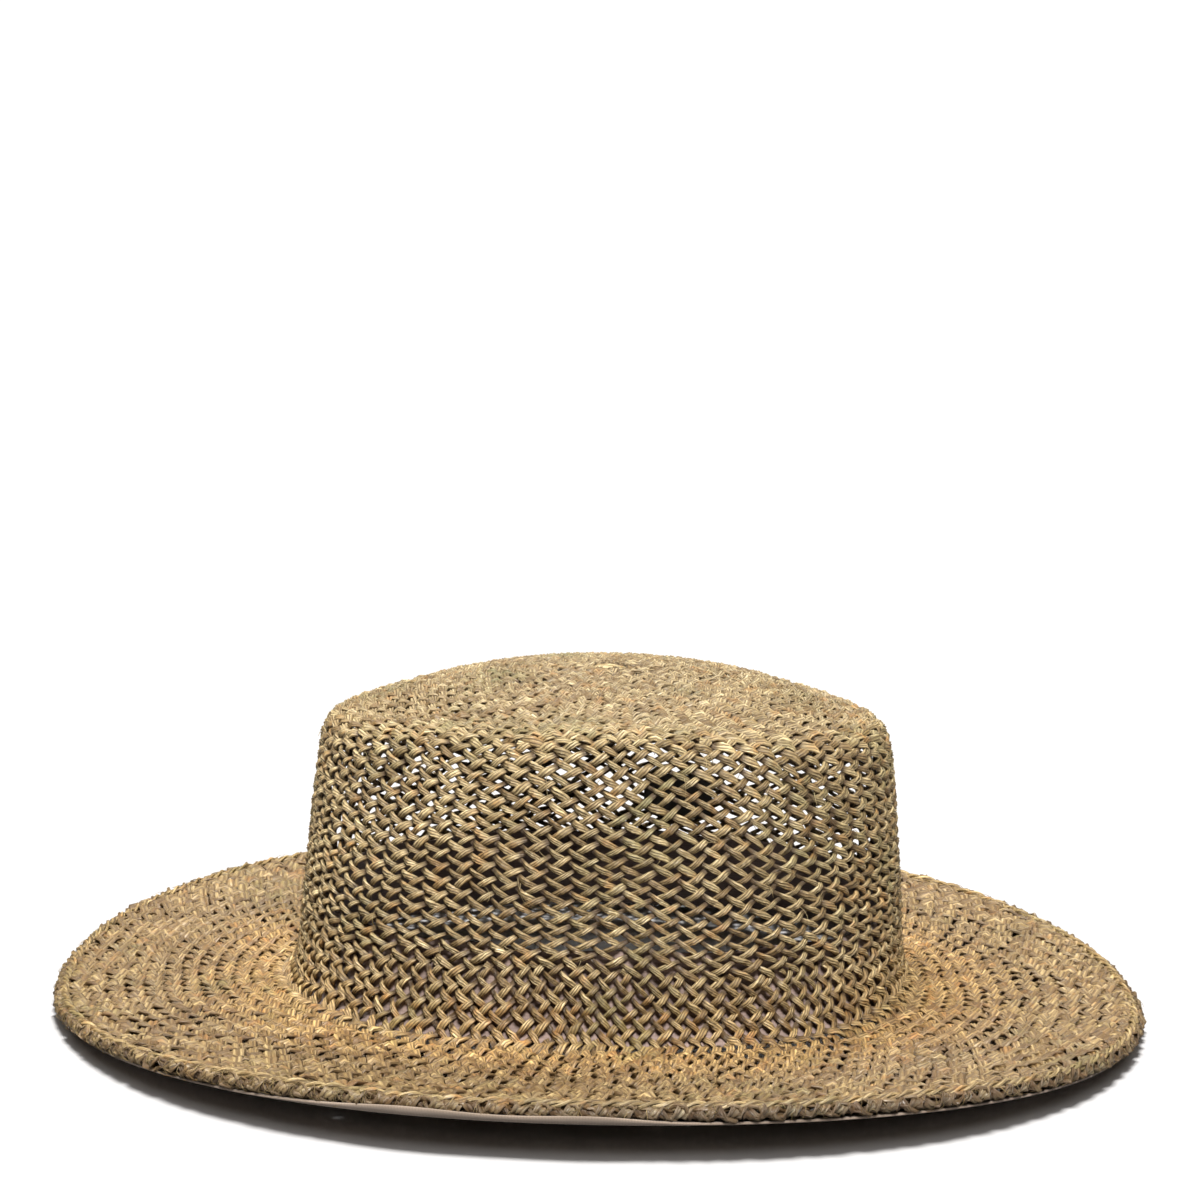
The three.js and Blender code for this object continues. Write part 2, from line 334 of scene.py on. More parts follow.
# %% Cords and their places
def plan_cords(lean):
    """For one family: the place about Z of each cord in each band, in radians, and the band it starts in."""
    phase = cord_counts * np.concatenate([[0], np.cumsum(row_counts / cord_counts)[:-1]])
    shift = -lean * (phase - np.round(phase)) / 2
    starts = [0] * cord_counts[0]
    order = list(range(cord_counts[0]))
    places = {cord: [2 * np.pi * cord / cord_counts[0]] for cord in order}
    for band in range(1, len(cord_counts)):
        there, before = cord_counts[band], cord_counts[band - 1]
        ideal = (np.arange(before) + shift[band - 1]) * there / before - shift[band]
        kept = {int(slot) % there: cord for slot, cord in zip(np.floor(ideal + 0.5), order)}
        for slot in range(there):
            angle = 2 * np.pi * (slot + shift[band]) / there
            if slot in kept:
                last = places[kept[slot]][-1]
                angle = last + (angle - last + np.pi) % (2 * np.pi) - np.pi
                places[kept[slot]].append(angle)
            else:
                kept[slot] = len(starts)
                places[len(starts)] = [angle] * (band + 1)
                starts.append(band)
        order = [kept[slot] for slot in range(there)]
    return np.array([places[cord] for cord in range(len(starts))]), np.array(starts)


for lean in (1, -1):
    print("cords in a family:", len(plan_cords(lean)[1]))

# %% [markdown]
# Nothing made by hand is even. One smooth field pushes both families together, so that the gaps get wider in
# one place and tighter in another while the crossings stay true. Then each cord wanders a little by itself.
# Both are sums of a few sines with seeded phases.

# %% Unevenness
SEED = 21
FIELD_COLUMNS = ("times_round", "turns_per_mm", "push_mm")
FIELD_WAVES = ((3, 0.005, 1.1), (5, -0.009, 0.8), (9, 0.015, 0.5), (14, -0.021, 0.32), (23, 0.033, 0.2))
PUSH_FROM, PUSH_GROWS_OVER = 20, 40  # mm from the middle of the top
PUSH_ENDS, PUSH_FADES_OVER = 3, 12  # mm before the edge
WANDER_WAVES = (0.71, 0.37, 0.19)  # radians in each row
WANDER = 0.26  # mm, each wave
RIPPLE_COLUMNS = ("size", "times_round", "start_radians")
FRONT = np.radians(-75)  # about Z, where the edge's painted shade is greyest
FRONT_WIDTH = 0.8  # radians to each side
seeded = np.random.default_rng(SEED)
field_phase = seeded.uniform(0, 2 * np.pi, (2, len(FIELD_WAVES)))


def field(distance, angle, which):
    """The shared push, in mm: which is 0 along the skin and 1 around it."""
    total = np.zeros(np.broadcast(distance, angle).shape)
    for (times, rate, push), phase in zip(FIELD_WAVES, field_phase[which]):
        total = total + push * np.sin(times * angle + 2 * np.pi * rate * distance + phase)
    ease_in = np.clip((distance - PUSH_FROM) / PUSH_GROWS_OVER, 0, 1)
    ease_out = np.clip((AT["edge"] - PUSH_ENDS - distance) / PUSH_FADES_OVER, 0, 1)
    return total * ease_in * ease_out


def wander(row, phases):
    """Each cord's own sideways wandering, in mm."""
    return WANDER * sum(np.sin(rate * row + phases[..., k]) for k, rate in enumerate(WANDER_WAVES))


def front_share(angle):
    """How much a place about Z is in front: 1 in the middle, and less and less to its sides."""
    away = (angle - FRONT + np.pi) % (2 * np.pi) - np.pi
    return np.exp(-(away / FRONT_WIDTH) ** 2)


def ripples(table, angle):
    """The sum of a table's waves round the hat."""
    return sum(size * np.sin(times * angle + start) for size, times, start in table)


print("widest shared push:", round(sum(push for _, _, push in FIELD_WAVES), 1), "mm")

# %% [markdown]
# A cord of the weave is a flat bundle of three fibres, and the cords of the edge are two fibres twisted. Each
# cross section has its ridges and grooves, so each stroke of the weave shows lines of light and dark. tube
# sweeps a section along many paths at once, and gives every corner a length along the cord and a place around
# it for the material, with a seeded tone for the whole cord and a mark for the grooves.

# %% Sections and tubes
SECTION_COLUMNS = ("across_mm", "up_mm", "groove")
THREE_FIBRES = np.array([
    (1.08, 0.0, 0.85), (0.76, 0.6, 0), (0.4, 0.34, 1), (0.0, 0.82, 0), (-0.4, 0.34, 1), (-0.76, 0.6, 0),
    (-1.08, 0.0, 0.85), (-0.7, -0.55, 0), (0.0, -0.65, 0), (0.7, -0.55, 0),
])
TWO_FIBRES = np.array([
    (0.0, 0.3, 1), (-0.52, 0.56, 0), (-1.06, 0.0, 0), (-0.52, -0.56, 0),
    (0.0, -0.3, 1), (0.52, -0.56, 0), (1.06, 0.0, 0), (0.52, 0.56, 0),
])
ROUND_FIBRE = np.array([(math.cos(a), math.sin(a), 0) for a in np.radians(np.arange(0, 360, 120))])


def length_along(path):
    """The length in mm from the start of each path to each of its points."""
    steps = np.linalg.norm(np.diff(path, axis=1), axis=-1)
    return np.concatenate([np.zeros((len(path), 1)), np.cumsum(steps, axis=1)], axis=1)


def tube(path, out, section, size, twist, tone, along, shades, spread=1):
    """Closed tubes along paths (cord, step, xyz) in mm: points, faces and two corner maps.

    size scales the section, and spread widens it before it is turned by twist. shades are named values at
    the steps for the material.
    """
    cords, steps = path.shape[:2]
    count = len(section)
    forward = np.gradient(path, axis=1)
    forward /= np.linalg.norm(forward, axis=-1, keepdims=True)
    side = np.cross(forward, out)
    side /= np.linalg.norm(side, axis=-1, keepdims=True)
    up = np.cross(side, forward)
    cosine, sine = np.cos(twist)[..., None], np.sin(twist)[..., None]
    wide = section[:, 0] * np.broadcast_to(spread, size.shape)[..., None]
    x = wide * cosine - section[:, 1] * sine
    y = wide * sine + section[:, 1] * cosine
    ring = (x[..., None] * side[:, :, None] + y[..., None] * up[:, :, None]) * size[:, :, None, None]
    points = (path[:, :, None] + ring).reshape(-1, 3)
    number = np.arange(cords * steps * count).reshape(cords, steps, count)
    after = np.roll(number, -1, axis=2)
    walls = np.stack([number[:, :-1], after[:, :-1], after[:, 1:], number[:, 1:]], -1).reshape(-1, 4)
    fan = np.arange(1, count - 1)
    first = np.stack([number[:, 0, :1].repeat(count - 2, 1), number[:, 0, fan + 1], number[:, 0, fan]], -1)
    final = np.stack([number[:, -1, :1].repeat(count - 2, 1), number[:, -1, fan], number[:, -1, fan + 1]], -1)
    caps = np.concatenate([first, final]).reshape(-1, 3)

    def at_points(values):
        return np.broadcast_to(values, (cords, steps, count)).reshape(-1)

    place = at_points(along[..., None] * MM)
    around = at_points(np.arange(count) / count)
    marks = at_points(tone[:, None, None])
    groove = at_points(section[:, 2])
    seam = np.zeros((len(walls) // count, count, 4))
    seam[:, -1, 1:3] = 1
    wall_around = around[walls] + seam.reshape(-1, 4)
    return {
        "points": points * MM,
        "shades": {key: at_points(np.asarray(value, float)[..., None]) for key, value in shades.items()},
        "faces": [walls, caps],
        "lay": [np.stack([place[walls], wall_around], -1), np.stack([place[caps], around[caps]], -1)],
        "tone": [np.stack([marks[f], groove[f]], -1) for f in (walls, caps)],
    }


print("triangles in each step of a cord:", 2 * len(THREE_FIBRES))

# %% [markdown]
# Every piece ends as one mesh. The arrays are handed to Blender in bulk, which is some hundred times faster
# than a list of faces. The piece then rides on the hat's only body and stands for its plain solid.

# %% Meshes from arrays
def make_piece(name, parts, material, node):
    """One object from several dicts of points, faces and corner maps."""
    shift = np.cumsum([0] + [len(part["points"]) for part in parts])
    points = np.concatenate([part["points"] for part in parts])
    faces = [face + start for part, start in zip(parts, shift) for face in part["faces"]]
    corners = np.concatenate([face.reshape(-1) for face in faces])
    sizes = np.concatenate([np.full(len(face), face.shape[1]) for face in faces])
    mesh = bpy.data.meshes.new(name)
    mesh.vertices.add(len(points))
    mesh.vertices.foreach_set("co", points.astype(np.float32).ravel())
    mesh.loops.add(len(corners))
    mesh.loops.foreach_set("vertex_index", corners.astype(np.int32))
    mesh.polygons.add(len(sizes))
    mesh.polygons.foreach_set("loop_start", (np.cumsum(sizes) - sizes).astype(np.int32))
    mesh.polygons.foreach_set("use_smooth", np.ones(len(sizes), bool))
    mesh.update(calc_edges=True)
    for key in ("lay", "tone"):
        values = np.concatenate([corner.reshape(-1, 2) for part in parts for corner in part[key]])
        mesh.uv_layers.new(name=key).data.foreach_set("uv", values.astype(np.float32).ravel())
    for key in parts[0].get("shades", ()):
        values = np.concatenate([part["shades"][key] for part in parts])
        mesh.attributes.new(key, "FLOAT", "POINT").data.foreach_set("value", values.astype(np.float32))
    mesh.materials.append(material)
    piece = bpy.data.objects.new(name, mesh)
    bpy.context.scene.collection.objects.link(piece)
    shone_on["hat"].objects.link(piece)
    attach(piece, "root")
    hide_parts(node)
    print(name, "triangles:", int((sizes - 2).sum()))
    return piece


# %% [markdown]
# Materials are built from nodes. Each of these helpers adds one node with its values, most of them with its
# links too, and the last one starts an empty group with named sockets. Groups hold the effects that several
# materials share: the streaks of a dry fibre, the threads of a plain cloth, and slow changes of colour.

# %% Node helpers
def add_node(tree, kind, values=None, **settings):
    """A node of a kind, with its settings and its input values."""
    node = tree.nodes.new("ShaderNode" + kind)
    for key, value in settings.items():
        setattr(node, key, value)
    for key, value in (values or {}).items():
        node.inputs[key].default_value = value
    return node


def add_math(tree, operation, first, second=None):
    """A math node between sockets or numbers, as its output socket."""
    node = add_node(tree, "Math", operation=operation)
    for k, value in enumerate((first, second)):
        if isinstance(value, bpy.types.NodeSocket):
            tree.links.new(value, node.inputs[k])
        elif value is not None:
            node.inputs[k].default_value = value
    return node.outputs[0]


def add_mix(tree, factor, first, second, blend="MIX"):
    """A colour mix between sockets or colours, as its output socket."""
    node = add_node(tree, "Mix", data_type="RGBA", blend_type=blend)
    for key, value in ((0, factor), (6, first), (7, second)):
        if isinstance(value, bpy.types.NodeSocket):
            tree.links.new(value, node.inputs[key])
        else:
            node.inputs[key].default_value = value
    return node.outputs[2]


def add_range(tree, value, taken, given=(0, 1)):
    """A range of a socket's values turned into another range, as its output socket."""
    node = add_node(tree, "MapRange", {
        "From Min": taken[0], "From Max": taken[1], "To Min": given[0], "To Max": given[1]})
    tree.links.new(value, node.inputs["Value"])
    return node.outputs[0]


def attribute(tree, name):
    """A named value of the mesh's points, as a socket."""
    return add_node(tree, "Attribute", attribute_name=name).outputs["Fac"]


def new_group(name, inputs, outputs):
    """An empty shader group with float inputs and outputs."""
    tree = bpy.data.node_groups.new(name, "ShaderNodeTree")
    for key, value in inputs.items():
        socket = tree.interface.new_socket(key, in_out="INPUT", socket_type="NodeSocketFloat")
        socket.default_value = value
    for key in outputs:
        tree.interface.new_socket(key, in_out="OUTPUT", socket_type="NodeSocketFloat")
    return tree, tree.nodes.new("NodeGroupInput"), tree.nodes.new("NodeGroupOutput")


print("helpers ready")

# %% [markdown]
# Dry fibre has fine streaks along it. The streaks are noise that is read on a stretched map: slowly along
# the cord and quickly around it. The around value goes through a sine and a cosine, so the noise closes on
# itself without a seam. The relief is the streaks less the grooves between the fibres.

# %% Group: fibre streaks
CORDS_APART = 97.0  # in the noise, between cords of tone 0 and tone 1
CRISP_STREAKS = (0.38, 0.6)  # the part of the noise that goes from dark to light


def fibre_streaks():
    """The streaks of a fibre, and its relief."""
    tree, start, end = new_group(
        "fibre_streaks",
        {"Along": 0, "Around": 0, "Tone": 0, "Groove": 0, "Stretch": 60, "Fineness": 2.2},
        ("Streak", "Height"),
    )
    turn = add_math(tree, "MULTIPLY", start.outputs["Around"], 2 * math.pi)
    spread = add_node(tree, "CombineXYZ")
    cosine = add_math(tree, "MULTIPLY", add_math(tree, "COSINE", turn), start.outputs["Fineness"])
    sine = add_math(tree, "MULTIPLY", add_math(tree, "SINE", turn), start.outputs["Fineness"])
    tree.links.new(cosine, spread.inputs["X"])
    tree.links.new(sine, spread.inputs["Y"])
    length = add_math(tree, "MULTIPLY", start.outputs["Along"], start.outputs["Stretch"])
    apart = add_math(tree, "MULTIPLY", start.outputs["Tone"], CORDS_APART)
    tree.links.new(add_math(tree, "ADD", length, apart), spread.inputs["Z"])
    noise = add_node(tree, "TexNoise", {"Scale": 1.0, "Detail": 3.0, "Roughness": 0.65})
    tree.links.new(spread.outputs[0], noise.inputs["Vector"])
    crisp = add_range(tree, noise.outputs[0], CRISP_STREAKS)
    tree.links.new(crisp, end.inputs["Streak"])
    height = add_math(tree, "SUBTRACT", crisp, start.outputs["Groove"])
    tree.links.new(height, end.inputs["Height"])
    return tree


FIBRE_STREAKS = fibre_streaks()
print("group:", FIBRE_STREAKS.name)

# %% [markdown]
# Slow patches of colour, read from the place on the hat, so that neighbouring cords share them. The same
# group tints the straw, fades the tape and soils the band.

# %% Group: slow patches
def slow_patches():
    """A mask of soft patches over the hat."""
    tree, start, end = new_group("slow_patches", {"Size": 30, "Low": 0.4, "High": 0.62}, ("Mask",))
    place = add_node(tree, "TexCoord")
    noise = add_node(tree, "TexNoise", {"Detail": 2.0, "Roughness": 0.5})
    tree.links.new(place.outputs["Object"], noise.inputs["Vector"])
    tree.links.new(start.outputs["Size"], noise.inputs["Scale"])
    spread = add_node(tree, "MapRange")
    tree.links.new(noise.outputs[0], spread.inputs["Value"])
    tree.links.new(start.outputs["Low"], spread.inputs["From Min"])
    tree.links.new(start.outputs["High"], spread.inputs["From Max"])
    tree.links.new(spread.outputs[0], end.inputs["Mask"])
    return tree


SLOW_PATCHES = slow_patches()
print("group:", SLOW_PATCHES.name)

# %% [markdown]
# Plain cloth is two sets of threads at right angles. Two waves on the piece's flat map stand for them, and
# a little noise keeps them from looking printed.

# %% Group: cloth threads
def cloth_threads():
    """The threads of a plain cloth, and their relief."""
    tree, start, end = new_group(
        "cloth_threads",
        {"Across": 0, "Along": 0, "Across Pitch": 2000, "Along Pitch": 2000},
        ("Thread", "Height"),
    )
    waves = []
    for key in ("Across", "Along"):
        run = add_math(tree, "MULTIPLY", start.outputs[key], start.outputs[key + " Pitch"])
        waves.append(add_math(tree, "ABSOLUTE", add_math(tree, "SINE", run)))
    place = add_node(tree, "TexCoord")
    noise = add_node(tree, "TexNoise", {"Scale": 900.0, "Detail": 2.0})
    tree.links.new(place.outputs["Object"], noise.inputs["Vector"])
    both = add_math(tree, "MULTIPLY", waves[0], waves[1])
    tree.links.new(both, end.inputs["Thread"])
    tree.links.new(add_math(tree, "ADD", both, noise.outputs[0]), end.inputs["Height"])
    return tree


CLOTH_THREADS = cloth_threads()
print("group:", CLOTH_THREADS.name)

# %% [markdown]
# Seagrass dries to a warm straw colour. Single cords are greener or more orange than their neighbours. Over
# that comes
# painted shade: brown in the grooves, on the sunk strokes and on the cords' sides, darker tints on the top
# and the brim, golden painted bounced light on the brim round the foot of the crown, and a greyer front edge.
# All of these are masks that mix colours one after the other. The surface is dry with a faint gloss on
# ridges.

# %% Material: seagrass
STRAW_DARK = (0.19, 0.11, 0.035, 1)
STRAW_MIDDLE = (0.34, 0.235, 0.09, 1)
STRAW_LIGHT = (0.95, 0.78, 0.44, 1)
STRAW_BROWN = (0.3, 0.19, 0.075, 1)
STRAW_OLIVE = (0.3, 0.28, 0.12, 1)
STRAW_ORANGE = (0.58, 0.31, 0.1, 1)
# Painted shade: this brown is mixed into the grooves, the sunk strokes and the cords' sides, where shade
# falls.
PAINTED_SHADE_BROWN = (0.07, 0.038, 0.016, 1)
BROWN_SHARE, RUST_SHARE = 0.55, 0.75  # of these colours at most
TONE_SEED = 913.0  # turns a cord's tone into its chance of being olive
DARK_CORDS = (0.55, 1.0), (0, 0.75)  # the tones of dark cords, and how dark they are
SUNK_SHADE = (0.16, 0.8), (0, 0.93)  # how far a stroke is sunk, and how dark its painted shade is there
SIDE_SHADE = (0.09, 0.26), (0, 0.75)  # how far round a cord it is from its top, and how dark its painted shade is there
TOP_AROUND = 0.3  # of the way round a cord, where its top is
GROOVE_SHADE = 0.85
STRAW_ROUGH = (0.65, 0.4)  # between the streaks, and on them
STRAW_RELIEF = (0.9, 0.0003)  # strength, and metres
# Painted shade: the top and the brim, which the lamps light hardest, are painted darker, and the brim's tint
# also makes its straw more saturated. Past the foot of the crown the straw is painted darker and golden, as
# painted shade and painted bounced light.
PAINTED_SHADE_ZONES = (  # painted shade as a tint, and the distances in mm from which and to which it sets in
    ((0.86, 0.86, 0.88, 1), (96, 84)),
    ((0.9, 0.74, 0.54, 1), (158, 190)),
    ((0.65, 0.715, 0.83, 1), (196, 222)),
)
# Painted shade: the front of the edge is painted greyer and darker, most in front and less towards the sides.
EDGE_PAINTED_SHADE, EDGE_SHADE_REACH = (0.53, 0.61, 0.86, 1), (AT["edge"] - 2, AT["edge"] + 1.5)


def new_material(name):
    """A material with its Principled shader."""
    material = bpy.data.materials.new(name)
    material.use_nodes = True
    return material, material.node_tree, material.node_tree.nodes["Principled BSDF"]


def place_group(tree, group, values=None, links=None):
    """A group in a material, with its own values and links."""
    node = add_node(tree, "Group", node_tree=group)
    for key, value in (values or {}).items():
        node.inputs[key].default_value = value
    for key, socket in (links or {}).items():
        tree.links.new(socket, node.inputs[key])
    return node


def corner_map(tree, name):
    """The two values of a corner map, as sockets."""
    split = add_node(tree, "SeparateXYZ")
    tree.links.new(add_node(tree, "UVMap", uv_map=name).outputs[0], split.inputs[0])
    return split.outputs["X"], split.outputs["Y"]


def finish_surface(tree, shader, colour, mask, rough, height, relief):
    """A colour, a roughness that a mask sets, and a relief on a Principled shader."""
    tree.links.new(colour, shader.inputs["Base Color"])
    tree.links.new(add_range(tree, mask, (0, 1), rough), shader.inputs["Roughness"])
    bump = add_node(tree, "Bump", {"Strength": relief[0], "Distance": relief[1]})
    tree.links.new(height, bump.inputs["Height"])
    tree.links.new(bump.outputs[0], shader.inputs["Normal"])


def straw_colour(tree, streak, lay, tone):
    """The fibre's own colour: streaks, brown stretches, olive and rust patches, and dark cords."""
    colour = add_mix(tree, streak, STRAW_MIDDLE, STRAW_LIGHT)
    slow = place_group(tree, FIBRE_STREAKS, {"Stretch": 75, "Fineness": 0.25}, {**lay, "Tone": tone})
    brown = add_math(tree, "MULTIPLY", slow.outputs["Streak"], BROWN_SHARE)
    colour = add_mix(tree, brown, colour, STRAW_BROWN)
    chance = add_node(tree, "TexWhiteNoise", noise_dimensions="1D")
    tree.links.new(add_math(tree, "MULTIPLY", tone, TONE_SEED), chance.inputs["W"])
    patches = place_group(tree, SLOW_PATCHES, {"Size": 38, "Low": 0.5, "High": 0.7})
    olive = add_math(tree, "MULTIPLY", chance.outputs["Value"], patches.outputs["Mask"])
    colour = add_mix(tree, olive, colour, STRAW_OLIVE)
    spots = place_group(tree, SLOW_PATCHES, {"Size": 160, "Low": 0.56, "High": 0.72})
    rust = add_math(tree, "MULTIPLY", spots.outputs["Mask"], RUST_SHARE)
    colour = add_mix(tree, rust, colour, STRAW_ORANGE)
    return add_mix(tree, add_range(tree, tone, *DARK_CORDS), colour, STRAW_DARK)


def with_painted_shade(tree, colour):
    """A colour with painted shade: darker on the top and the brim, golden past the foot of the crown, and
    greyer at the front of the edge.
    """
    reach = attribute(tree, "reach")
    for tint, zone in PAINTED_SHADE_ZONES:
        colour = add_mix(tree, add_range(tree, reach, zone), colour, tint, "MULTIPLY")
    edge_shade = add_math(tree, "MULTIPLY", add_range(tree, reach, EDGE_SHADE_REACH), attribute(tree, "front"))
    return add_mix(tree, edge_shade, colour, EDGE_PAINTED_SHADE, "MULTIPLY")


def weave_shadow(tree, around, groove):
    """The painted shade of the weave: how dark the grooves, the sunk strokes and the sides of the cords are
    painted.
    """
    sunk = add_range(tree, attribute(tree, "sunk"), *SUNK_SHADE)
    off_top = add_math(tree, "ABSOLUTE", add_math(tree, "SUBTRACT", around, TOP_AROUND))
    side = add_math(tree, "MULTIPLY", add_range(tree, off_top, *SIDE_SHADE), attribute(tree, "painted_side_shade"))
    shadow = add_math(tree, "MAXIMUM", add_math(tree, "MULTIPLY", groove, GROOVE_SHADE), sunk)
    return add_math(tree, "MAXIMUM", shadow, side)


def seagrass():
    """Dry twisted grass, with the painted shade of the weave and of the hat's zones."""
    material, tree, shader = new_material("seagrass")
    along, around = corner_map(tree, "lay")
    tone, groove = corner_map(tree, "tone")
    lay = {"Along": along, "Around": around}
    fibre = place_group(tree, FIBRE_STREAKS, {"Stretch": 140}, {**lay, "Tone": tone, "Groove": groove})
    streak, height = fibre.outputs["Streak"], fibre.outputs["Height"]
    colour = with_painted_shade(tree, straw_colour(tree, streak, lay, tone))
    colour = add_mix(tree, weave_shadow(tree, around, groove), colour, PAINTED_SHADE_BROWN)
    finish_surface(tree, shader, colour, streak, STRAW_ROUGH, height, STRAW_RELIEF)
    return material


SEAGRASS = seagrass()
print("material:", SEAGRASS.name)

# %% [markdown]
# The inner band, the tape and the blank label are matt cloth. They share one recipe with their own colours
# and thread counts: a base colour, slow patches of a second colour, darker gaps between threads, and the
# threads as relief.

# %% Materials: cloth
THREAD_GAPS = (0.35, 0.0)  # how dark it is between the threads, and on them
GAP_SHADE = 0.45  # of the base colour
CLOTH_ROUGH = (0.95, 0.78)  # between the threads, and on them
CLOTH_RELIEF = (0.5, 0.0001)  # strength, and metres
CLOTH_SHEEN = 0.25


def cloth(name, base, patch, across, along):
    """Matt cloth from its two colours and the pitches of its threads."""
    material, tree, shader = new_material(name)
    run, rise = corner_map(tree, "lay")
    threads = place_group(
        tree, CLOTH_THREADS, {"Across Pitch": across, "Along Pitch": along}, {"Across": run, "Along": rise})
    thread, height = threads.outputs["Thread"], threads.outputs["Height"]
    patches = place_group(tree, SLOW_PATCHES, {"Size": 55, "Low": 0.42, "High": 0.64})
    colour = add_mix(tree, patches.outputs["Mask"], base, patch)
    gaps = add_range(tree, thread, (0, 1), THREAD_GAPS)
    colour = add_mix(tree, gaps, colour, tuple(GAP_SHADE * c for c in base[:3]) + (1,))
    finish_surface(tree, shader, colour, thread, CLOTH_ROUGH, height, CLOTH_RELIEF)
    shader.inputs["Sheen Weight"].default_value = CLOTH_SHEEN
    return material


BAND_CLOTH = cloth("band_cloth", (0.2, 0.142, 0.122, 1), (0.28, 0.2, 0.172, 1), 5200, 3600)
TAPE_CLOTH = cloth("tape_cloth", (0.18, 0.137, 0.103, 1), (0.23, 0.177, 0.135, 1), 6200, 6200)
LABEL_CLOTH = cloth("label_cloth", (0.075, 0.072, 0.06, 1), (0.1, 0.095, 0.08, 1), 7000, 7000)
print("materials:", BAND_CLOTH.name, TAPE_CLOTH.name, LABEL_CLOTH.name)

# %% [markdown]
# The floor is matt card. Slow noise between two pale greys keeps it from looking painted.

# %% Material: floor
CARD_COLOURS = (0.82, 0.82, 0.84, 1), (0.86, 0.86, 0.88, 1)
CARD_ROUGH = 0.9


def pale_card():
    """Matt pale grey card."""
    material, tree, shader = new_material("pale_card")
    place = add_node(tree, "TexCoord")
    noise = add_node(tree, "TexNoise", {"Scale": 3.0, "Detail": 4.0})
    tree.links.new(place.outputs["Object"], noise.inputs["Vector"])
    colour = add_mix(tree, noise.outputs[0], *CARD_COLOURS)
    tree.links.new(colour, shader.inputs["Base Color"])
    shader.inputs["Roughness"].default_value = CARD_ROUGH
    return material


floor.data.materials.append(pale_card())
print("floor material:", floor.data.materials[0].name)

# %% [markdown]
# Now the weave itself. A cord that leans right turns one way about Z as it goes out, and a cord that leans
# left turns the other way. Its height in the layer is a cosine of the row: up in one row, down in the next,
# and the other family has the opposite sign, so one is always over where the other is under. New cords start
# tucked below the layer. On the top and on the brim the cords lie flatter and closer than on the open wall.

# %% Cords of one family
WAVE_COLUMNS = ("at_mm", "wave_mm", "spread", "swell", "swing")
WAVES = np.array([
    (START, 0.6, 1.2, 0.06, 0.6),
    (90, 0.95, 1.3, 0.06, 0.6),
    (102, 0.9, 0.98, 0.14, 0.6),
    (155, 0.95, 0.78, 0.14, 0.6),
    (180, 0.85, 0.98, 0.1, 0.6),
    (195, 1.15, 1.7, 0.06, 0.65),
    (222, 1.2, 1.85, 0.06, 0.65),
    (229, 1.15, 2.5, 0.06, 0.4),
    (AT["hem"], 1.0, 2.85, 0.04, 0.35),
    (AT["edge"], 0.65, 2.0, 0.04, 0.4),
])
PAINTED_SIDE_AT = (80, 98, 176, 198)  # mm: on the top and the brim the cords' sides get painted shade, so they look thin
PAINTED_SIDE_SHARE = (0.7, 0.0, 0.0, 1.0)
STEPS_IN_ROW = 2
WALL_STEPS_IN_ROW = 3
TUCK, TUCK_ROWS = 1.0, 0.6  # mm that a new end lies below the layer, and the rows in which it comes up
WIDTH_SPREAD = 0.2  # how much cords differ in width
JITTER = 0.085  # of a gap, how far a cord's place is off
LEAST_REACH = 4  # mm, so that a push turns no cord far near the middle
WANDER_GROWS_OVER = 30  # mm from the middle
VARY_COLUMNS = ("share", "radians_in_a_row")
VARY = {"wave": (0.12, 0.9), "twist": (0.3, 0.43), "size": (0.08, 0.57)}


def rows_from(first):
    """The fine rows where a cord has a ring of points, closer together on the crown's wall."""
    wall_from, wall_to = ROW_OF["upper_wall"] * FINE_STEPS, ROW_OF["brim"] * FINE_STEPS
    rows = np.arange(first * FINE_STEPS, len(fine_rows))
    on_wall = (rows >= wall_from) & (rows < wall_to)
    step = np.where(on_wall, FINE_STEPS // WALL_STEPS_IN_ROW, FINE_STEPS // STEPS_IN_ROW)
    return rows[rows % step == 0]


def varied(what, row, phase):
    """How far the wave, the twist or the size of each cord is off along it."""
    share, rate = VARY[what]
    return share * np.sin(rate * row + phase)


